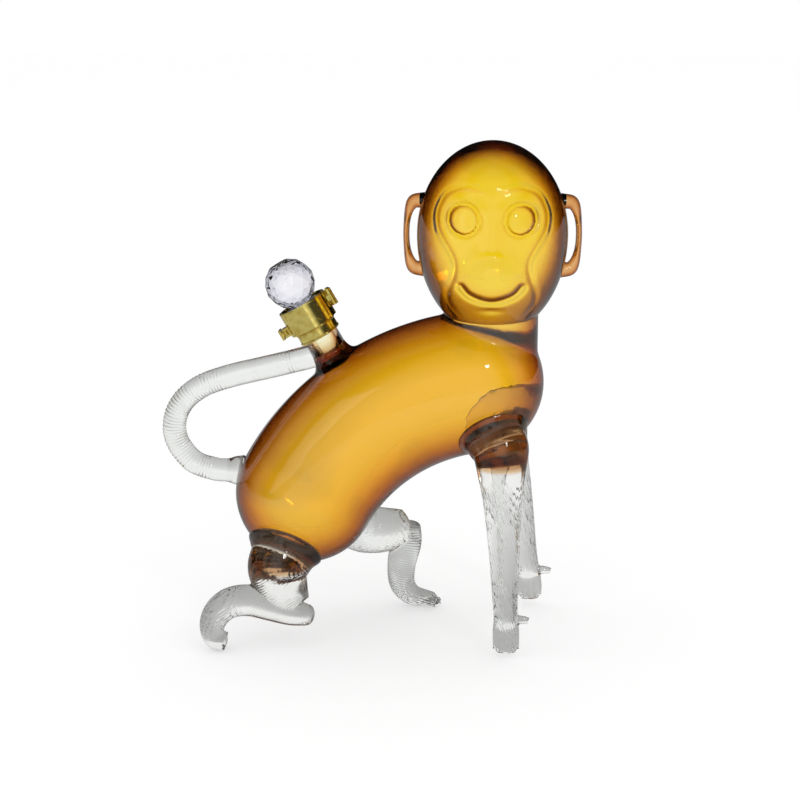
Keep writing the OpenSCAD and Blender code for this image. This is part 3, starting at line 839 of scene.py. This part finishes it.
# The strokes run along the arms and across the legs, leaning a little
CUT_PITCH = 1.3 * MM
ARM_CUTS = Matrix.Rotation(math.radians(76), 4, "Y")
LEG_CUTS = Matrix.Rotation(math.radians(-38), 4, "Y")
SHIN_CUTS = Matrix.Rotation(math.radians(16), 4, "Y")

# How far apart a wave texture's bands lie at scale 1
WAVE_PERIOD = 0.314


def height_over_table(nodes, links):
    place = nodes.new("ShaderNodeSeparateXYZ")
    links.new(object_place(nodes, links), place.inputs[0])
    return place.outputs["Z"]


def cut_strokes(nodes, links, frame_of, cut_to, normal):
    """Fine grooves in patches, up to a height in mm, where they fade out."""
    strokes = nodes.new("ShaderNodeTexWave")
    strokes.bands_direction = "Z"
    links.new(object_place(nodes, links, frame_of=frame_of), strokes.inputs["Vector"])
    strokes.inputs["Scale"].default_value = WAVE_PERIOD / CUT_PITCH
    strokes.inputs["Distortion"].default_value = 1.2
    strokes.inputs["Detail"].default_value = 1
    strokes.inputs["Detail Scale"].default_value = 0.6
    groove = ranged(nodes, links, strokes.outputs["Fac"], 0.35, 1, 0, 1)
    patches = noise(nodes, links, object_place(nodes, links), 62, 1.0)
    patches = ranged(nodes, links, patches, 0.38, 0.56, 0, 1)
    up = height_over_table(nodes, links)
    below = ranged(nodes, links, up, (cut_to - 8) * MM, cut_to * MM, 1, 0)
    cut_in = math_node(nodes, links, "MULTIPLY", groove, patches)
    cut_in = math_node(nodes, links, "MULTIPLY", cut_in, below)
    cut_in = math_node(nodes, links, "MULTIPLY", cut_in, -1)
    return bumped(nodes, links, cut_in, 0.16 * MM, 1, normal)


def glass(name, rim=None, tones=None, cut_frame=None, cut_to=0, painted_from=0, dull=0.05):
    """Worked glass with a soft waviness and, where it isn't polished, dull smears.

    A rim's ramp of painted shade runs with the angle of view, and tones carries its colour on. A
    limb has fine cut strokes up to a height in mm, and above another height painted amber and
    shade, for the body seen through it.
    """
    material, nodes, links = new_material(name)
    shader = nodes["Principled BSDF"]
    shader.inputs["Base Color"].default_value = (0.86, 0.875, 0.855, 1)
    shader.inputs["IOR"].default_value = 1.5
    shader.inputs["Transmission Weight"].default_value = 1
    shader.inputs["Roughness"].default_value = 0
    wave = noise(nodes, links, object_place(nodes, links), 55, 1.5)
    normal = bumped(nodes, links, wave, 0.5 * MM, 0.5)
    if dull:
        smears = noise(nodes, links, object_place(nodes, links), 160)
        links.new(ranged(nodes, links, smears, 0.35, 0.8, 0.0, dull), shader.inputs["Roughness"])
    # The rim's ramp paints shade that darkens as the angle of view grazes the glass
    if rim:
        facing = nodes.new("ShaderNodeLayerWeight").outputs["Facing"]
        colour = ramp_of(nodes, links, facing, rim)
        if tones:
            colour = tones(nodes, links, colour)
        links.new(colour, shader.inputs["Base Color"])
    if cut_frame is not None:
        normal = cut_strokes(nodes, links, cut_frame, cut_to, normal)
    # Above a height the leg's top is painted amber and dark brown shade, for the amber body seen
    # through it
    if painted_from:
        up = height_over_table(nodes, links)
        above = ranged(nodes, links, up, painted_from * MM, (painted_from + 18) * MM, 0, 1)
        links.new(ramp_of(nodes, links, above, LEG_TOP_AMBER_AND_SHADE), shader.inputs["Base Color"])
    links.new(normal, shader.inputs["Normal"])
    return material


def amber_liquor():
    """Clear amber whose colour deepens with the light's way through it, with slow swirls."""
    material, nodes, links = new_material("amber_liquor")
    shader = nodes["Principled BSDF"]
    shader.inputs["Base Color"].default_value = (1, 1, 1, 1)
    shader.inputs["Roughness"].default_value = 0.0
    shader.inputs["IOR"].default_value = 1.36
    shader.inputs["Transmission Weight"].default_value = 1
    swirl = noise(nodes, links, object_place(nodes, links), 26, 1.0)
    links.new(bumped(nodes, links, swirl, 0.8 * MM, 0.5), shader.inputs["Normal"])
    depth = nodes.new("ShaderNodeVolumeAbsorption")
    depth.inputs["Color"].default_value = (0.987, 0.916, 0.014, 1)
    depth.inputs["Density"].default_value = 70
    links.new(depth.outputs["Volume"], nodes["Material Output"].inputs["Volume"])
    return material


def crystal():
    """Cut lead crystal with painted rim shade, and faint smears on its polished facets."""
    material, nodes, links = new_material("crystal")
    shader = nodes["Principled BSDF"]
    facing = nodes.new("ShaderNodeLayerWeight").outputs["Facing"]
    links.new(ramp_of(nodes, links, facing, CRYSTAL_RIM_SHADE), shader.inputs["Base Color"])
    shader.inputs["IOR"].default_value = 1.6
    shader.inputs["Transmission Weight"].default_value = 1
    smear = noise(nodes, links, object_place(nodes, links), 180)
    links.new(ranged(nodes, links, smear, 0.4, 0.8, 0.0, 0.06), shader.inputs["Roughness"])
    return material


def brass():
    """Bright gold brass with turning marks round the spout's axis, nicks and duller patches."""
    material, nodes, links = new_material("brass")
    shader = nodes["Principled BSDF"]
    shader.inputs["Metallic"].default_value = 1
    patches = noise(nodes, links, object_place(nodes, links), 260, 4)
    marks = noise(nodes, links, object_place(nodes, links, (90, 90, 2600), spout_place()), 1, 3)
    nicks_at = object_place(nodes, links, (2200, 300, 500), spout_place())
    nicks = noise(nodes, links, nicks_at, 1, 2, 1.2)
    colour = ramp_of(nodes, links, patches, ((0.32, (0.72, 0.52, 0.1)), (0.6, (0.95, 0.8, 0.24))))
    links.new(colour, shader.inputs["Base Color"])
    links.new(ranged(nodes, links, patches, 0.3, 0.7, 0.22, 0.08), shader.inputs["Roughness"])
    normal = bumped(nodes, links, marks, 0.02 * MM, 0.5)
    nicks = ranged(nodes, links, nicks, 0.66, 0.72, 0, -1)
    normal = bumped(nodes, links, nicks, 0.05 * MM, 0.6, normal)
    links.new(normal, shader.inputs["Normal"])
    return material


def silicone():
    """Milky silicone with a fine dull grain."""
    material, nodes, links = new_material("silicone")
    shader = nodes["Principled BSDF"]
    shader.inputs["Subsurface Weight"].default_value = 0.3
    shader.inputs["Subsurface Radius"].default_value = (0.002, 0.002, 0.002)
    grain = noise(nodes, links, object_place(nodes, links), 900, 3)
    colour = ramp_of(nodes, links, grain, ((0, (0.72, 0.72, 0.69)), (1, (0.86, 0.86, 0.84))))
    links.new(colour, shader.inputs["Base Color"])
    links.new(ranged(nodes, links, grain, 0.3, 0.7, 0.4, 0.55), shader.inputs["Roughness"])
    links.new(bumped(nodes, links, grain, 0.03 * MM, 0.4), shader.inputs["Normal"])
    return material


# The stage, the lamps and the camera

# The floor's own tone, and its glow for the camera and through the glass, near and far
FLOOR_TONE = 0.48
FLOOR_SEEN = 0.56
THROUGH_NEAR = 0.14
FLOOR_THROUGH = 0.55


def stage():
    """A pale floor that shows white to the camera and keeps the figure's shadow.

    Through the glass it is darker under the figure than further off.
    """
    material, nodes, links = new_material("paper")
    shader = nodes["Principled BSDF"]
    shader.inputs["Base Color"].default_value = (FLOOR_TONE, FLOOR_TONE, FLOOR_TONE, 1)
    shader.inputs["Roughness"].default_value = 0.9
    path = nodes.new("ShaderNodeLightPath")
    seen = math_node(nodes, links, "MULTIPLY", path.outputs["Is Camera Ray"], FLOOR_SEEN)
    away = nodes.new("ShaderNodeVectorMath")
    away.operation = "LENGTH"
    links.new(nodes.new("ShaderNodeTexCoord").outputs["Object"], away.inputs[0])
    level = ranged(nodes, links, away.outputs["Value"], 0.1, 0.42, THROUGH_NEAR, FLOOR_THROUGH)
    through = math_node(nodes, links, "MULTIPLY", path.outputs["Is Transmission Ray"], level)
    shader.inputs["Emission Color"].default_value = (1, 1, 1, 1)
    glow = math_node(nodes, links, "MAXIMUM", seen, through)
    links.new(glow, shader.inputs["Emission Strength"])
    bpy.ops.mesh.primitive_plane_add(size=8, location=(0, 0, -0.0002))
    floor = bpy.context.active_object
    floor.name = "floor"
    floor.data.materials.append(material)


# Dark screens stand at the tent's sides, in degrees from the Y axis: where each begins, is full,
# begins to end and ends, and its level in the middle. Past them the tent has its side level.
SEEN_THROUGH = ((38, 56, 68, 80), 0.2)
MIRRORED = ((14, 36, 84, 88), 0.05)
SIDE_LEVEL = 0.8

# What mirrors see of the tent behind the figure, what polished glass mirrors of it all, and the
# tent's roof, as shares; then the level at which it lights what is dull
BEHIND = 0.06
POLISHED = 0.15
TOP_DARK = 0.35
DIFFUSE = 0.95


def screens(nodes, links, round_at, edges, dark):
    """The tent's level round the horizon, with a soft-edged dark screen between four angles."""
    inner, full, out, outer = (math.radians(edge) for edge in edges)
    near = ranged(nodes, links, round_at, inner, full, 1, dark)
    far = ranged(nodes, links, round_at, out, outer, dark, SIDE_LEVEL)
    return math_node(nodes, links, "MAXIMUM", near, far)


def world():
    """A white tent with dark screens and a dim roof, which glass and brass show."""
    scene_world = bpy.data.worlds.new("studio")
    bpy.context.scene.world = scene_world
    scene_world.use_nodes = True
    nodes, links = scene_world.node_tree.nodes, scene_world.node_tree.links
    way = nodes.new("ShaderNodeSeparateXYZ")
    links.new(nodes.new("ShaderNodeTexCoord").outputs["Generated"], way.inputs[0])
    across = math_node(nodes, links, "ABSOLUTE", way.outputs["X"])
    along = math_node(nodes, links, "ABSOLUTE", way.outputs["Y"])
    round_at = math_node(nodes, links, "ARCTAN2", across, along)
    path = nodes.new("ShaderNodeLightPath")
    choice = nodes.new("ShaderNodeMix")
    links.new(path.outputs["Is Reflection Ray"], choice.inputs["Factor"])
    links.new(screens(nodes, links, round_at, *SEEN_THROUGH), choice.inputs["A"])
    front = ranged(nodes, links, way.outputs["Y"], -0.3, 0.2, 1, BEHIND)
    mirrored = screens(nodes, links, round_at, *MIRRORED)
    mirrored = math_node(nodes, links, "MULTIPLY", mirrored, front)
    polished = ranged(nodes, links, path.outputs["Is Singular Ray"], 0, 1, 1, POLISHED)
    links.new(math_node(nodes, links, "MULTIPLY", mirrored, polished), choice.inputs["B"])
    roof = ranged(nodes, links, way.outputs["Z"], 0.45, 0.85, 1, TOP_DARK)
    level = math_node(nodes, links, "MULTIPLY", choice.outputs["Result"], roof)
    diffuse = math_node(nodes, links, "MULTIPLY", path.outputs["Is Diffuse Ray"], DIFFUSE)
    level = math_node(nodes, links, "MAXIMUM", level, diffuse)
    level = math_node(nodes, links, "MAXIMUM", level, path.outputs["Is Camera Ray"])
    nodes["Background"].inputs["Color"].default_value = (1, 1, 1, 1)
    links.new(level, nodes["Background"].inputs["Strength"])


# Each lamp's name, place and size in metres, and its power in watts
LAMPS = (
    ("box_left", (-0.8, -0.7, 0.5), (0.4, 0.7), 0.4),
    ("box_right", (0.5, -0.8, 0.8), (0.1, 0.1), 0.8),
)
LAMPS_AIM = Vector((0.02, 0, 0.13))


def lamps():
    """A tall soft box at the left and a small one high at the right."""
    for name, place, size, power in LAMPS:
        data = bpy.data.lights.new(name, "AREA")
        data.shape = "RECTANGLE"
        data.size, data.size_y = size
        data.energy = power
        lamp = bpy.data.objects.new(name, data)
        bpy.context.scene.collection.objects.link(lamp)
        lamp.location = place
        aim = LAMPS_AIM - Vector(place)
        lamp.rotation_euler = aim.to_track_quat("-Z", "Y").to_euler()


CAMERA_AZIMUTH = math.radians(3)
CAMERA_UP = math.radians(14.5)
CAMERA_AWAY = 1.0
CAMERA_LENS = 86.6
CAMERA_TARGET = Vector((16.02, 0.53, 125.1)) * MM


def camera():
    """Looks at the figure's right side, a little from ahead and from above."""
    data = bpy.data.cameras.new("camera")
    data.lens = CAMERA_LENS
    data.sensor_width = 36
    piece = bpy.data.objects.new("camera", data)
    bpy.context.scene.collection.objects.link(piece)
    back = Vector(
        (
            math.sin(CAMERA_AZIMUTH) * math.cos(CAMERA_UP),
            -math.cos(CAMERA_AZIMUTH) * math.cos(CAMERA_UP),
            math.sin(CAMERA_UP),
        )
    )
    piece.location = CAMERA_TARGET + back * CAMERA_AWAY
    piece.rotation_euler = (-back).to_track_quat("-Z", "Y").to_euler()
    bpy.context.scene.camera = piece


bpy.context.scene.view_settings.view_transform = "Standard"
camera()
stage()
world()
lamps()

# The finishes, with the limbs' strokes and their painted amber and shade at heights in millimetres
CLEAR = glass("clear_glass")
# The blown glass carries painted rim shade and the spout's painted shade
BLOWN = glass("blown_glass", BODY_RIM_SHADE, body_colours, dull=0)
# The ears carry painted rim shade
EAR_GLASS = glass("ear_glass", EAR_RIM_SHADE)
CUT_ARM = glass("cut_arm", cut_frame=ARM_CUTS, cut_to=92, painted_from=98, dull=0.16)
CUT_THIGH = glass("cut_thigh", cut_frame=LEG_CUTS, cut_to=42, painted_from=41, dull=0.2)
CUT_SHIN = glass("cut_shin", cut_frame=SHIN_CUTS, cut_to=54, dull=0.2)
CRYSTAL, BRASS, SILICONE = crystal(), brass(), silicone()

dress(blown_glass(), BLOWN, "clear_glass", "torso_shell", "head_shell", "bottle_neck")
dress(liquor(), amber_liquor(), "liquor", "liquor_fill")

# The fused rods are cut at the blown glass, which a copy of the body and the head stands in for
torso_core = body_solid(FUSED)
head_core = egg(
    HEAD_SIDE - FUSED, HEAD_DEEP - FUSED, HEAD_UP - FUSED, HEAD_DOWN - FUSED, *CORE_MESH
)
limbs = {
    "foreleg_right": (foreleg(-1, 4, 5.6), CUT_ARM),
    "foreleg_left": (foreleg(1, 17, 4.6), CUT_ARM),
    "hindleg_right": (hindleg_right(), CUT_THIGH),
    "hindleg_left": (hindleg_left(), CUT_SHIN),
}
for node, (parts, finish) in limbs.items():
    piece = fused(melted(joined(*parts), *LIMB_MELT), torso_core)
    piece.name = piece.data.name = node + "_glass"
    dress(piece, finish, "clear_glass", node)
piece = fused(tail(), torso_core)
piece.name = piece.data.name = "tail_glass"
dress(piece, CLEAR, "clear_glass", "tail_handle")
for node, side in (("ear_right", -1), ("ear_left", 1)):
    piece = fused(ear(side), head_core)
    piece.name = piece.data.name = node + "_glass"
    dress(piece, EAR_GLASS, "clear_glass", node)
for core in (torso_core, head_core):
    bpy.data.objects.remove(core)

# The model's own pieces that show as they are
FINISHES = {
    "neck_gasket": SILICONE, "stopper_seal": SILICONE,
    "stopper_shank": CRYSTAL, "stopper_ball": CRYSTAL, "neck_band": BRASS, "collar_rear": BRASS,
    "collar_front": BRASS, "hinge_pin": BRASS, "latch_lever": BRASS, "latch_pin": BRASS,
}
for node, material in FINISHES.items():
    frame["nodes"][node].data.materials.clear()
    frame["nodes"][node].data.materials.append(material)
